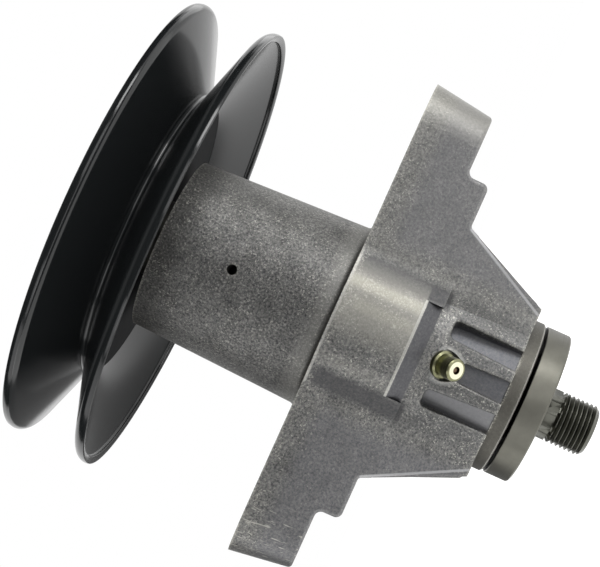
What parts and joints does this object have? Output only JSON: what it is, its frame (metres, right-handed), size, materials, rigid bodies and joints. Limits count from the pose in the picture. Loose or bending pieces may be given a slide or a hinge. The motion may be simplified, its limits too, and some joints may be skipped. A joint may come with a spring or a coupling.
{
  "type": "mower deck blade spindle assembly",
  "caption": "Mower deck blade spindle: cast aluminium housing with flange arms and a ribbed boss, shaft in ball bearings, black belt pulley and blade thread.",
  "frame": {"origin": "on the spindle axis, in the flange face that meets the mower deck", "axes": "+Z along the spindle towards the pulley, +X along one flange arm, -Y to the side with the grease fitting"},
  "size_m": [0.149, 0.1412, 0.166],
  "materials": {
    "cast_aluminium": "as cast, blasted, with worn edges",
    "black_paint": "gloss",
    "dark_steel": "turned, lightly oiled",
    "spacer_steel": "turned",
    "bearing_steel": "ground",
    "polished_steel": "polished",
    "seal_rubber": "matt",
    "zinc_steel": "zinc plated",
    "yellow_zinc": "yellow zinc plated"
  },
  "bodies": {
    "housing": {"housing": "cast_aluminium", "grease_fitting_body": "yellow_zinc", "grease_check_spring": "bearing_steel", "upper_bearing_outer_ring": "bearing_steel", "upper_bearing_seal": "seal_rubber", "lower_bearing_outer_ring": "bearing_steel", "lower_bearing_seal": "seal_rubber"},
    "spindle": {"spindle_shaft": "dark_steel", "upper_bearing_inner_ring": "bearing_steel", "lower_bearing_inner_ring": "bearing_steel", "blade_spacer": "spacer_steel", "top_spacer": "spacer_steel", "pulley_lower_half": "black_paint", "pulley_upper_half": "black_paint", "pulley_washer": "zinc_steel", "pulley_nut": "zinc_steel"},
    "upper_cage": {"upper_bearing_balls": "polished_steel", "upper_bearing_cage": "bearing_steel"},
    "lower_cage": {"lower_bearing_balls": "polished_steel", "lower_bearing_cage": "bearing_steel"},
    "check_ball": {"grease_check_ball": "polished_steel"}
  },
  "joints": [
    {"name": "spindle_spin", "type": "hinge", "parent": "housing", "child": "spindle", "pos_m": [0, 0, 0], "axis": [0, 0, 1], "continuous": true},
    {"name": "upper_cage_spin", "type": "hinge", "parent": "housing", "child": "upper_cage", "pos_m": [0, 0, 0.0481], "axis": [0, 0, 1], "continuous": true},
    {"name": "lower_cage_spin", "type": "hinge", "parent": "housing", "child": "lower_cage", "pos_m": [0, 0, -0.0519], "axis": [0, 0, 1], "continuous": true},
    {"name": "check_ball_slide", "type": "slide", "parent": "housing", "child": "check_ball", "axis": [0, 0.766, 0.6428], "range_m": [0, 0.0008], "stiffness_N_per_m": 300, "deforming": ["grease_check_spring"]}
  ],
  "couplings": [
    {"joint": "upper_cage_spin", "follows": "spindle_spin", "ratio": 0.38158},
    {"joint": "lower_cage_spin", "follows": "spindle_spin", "ratio": 0.38158}
  ]
}
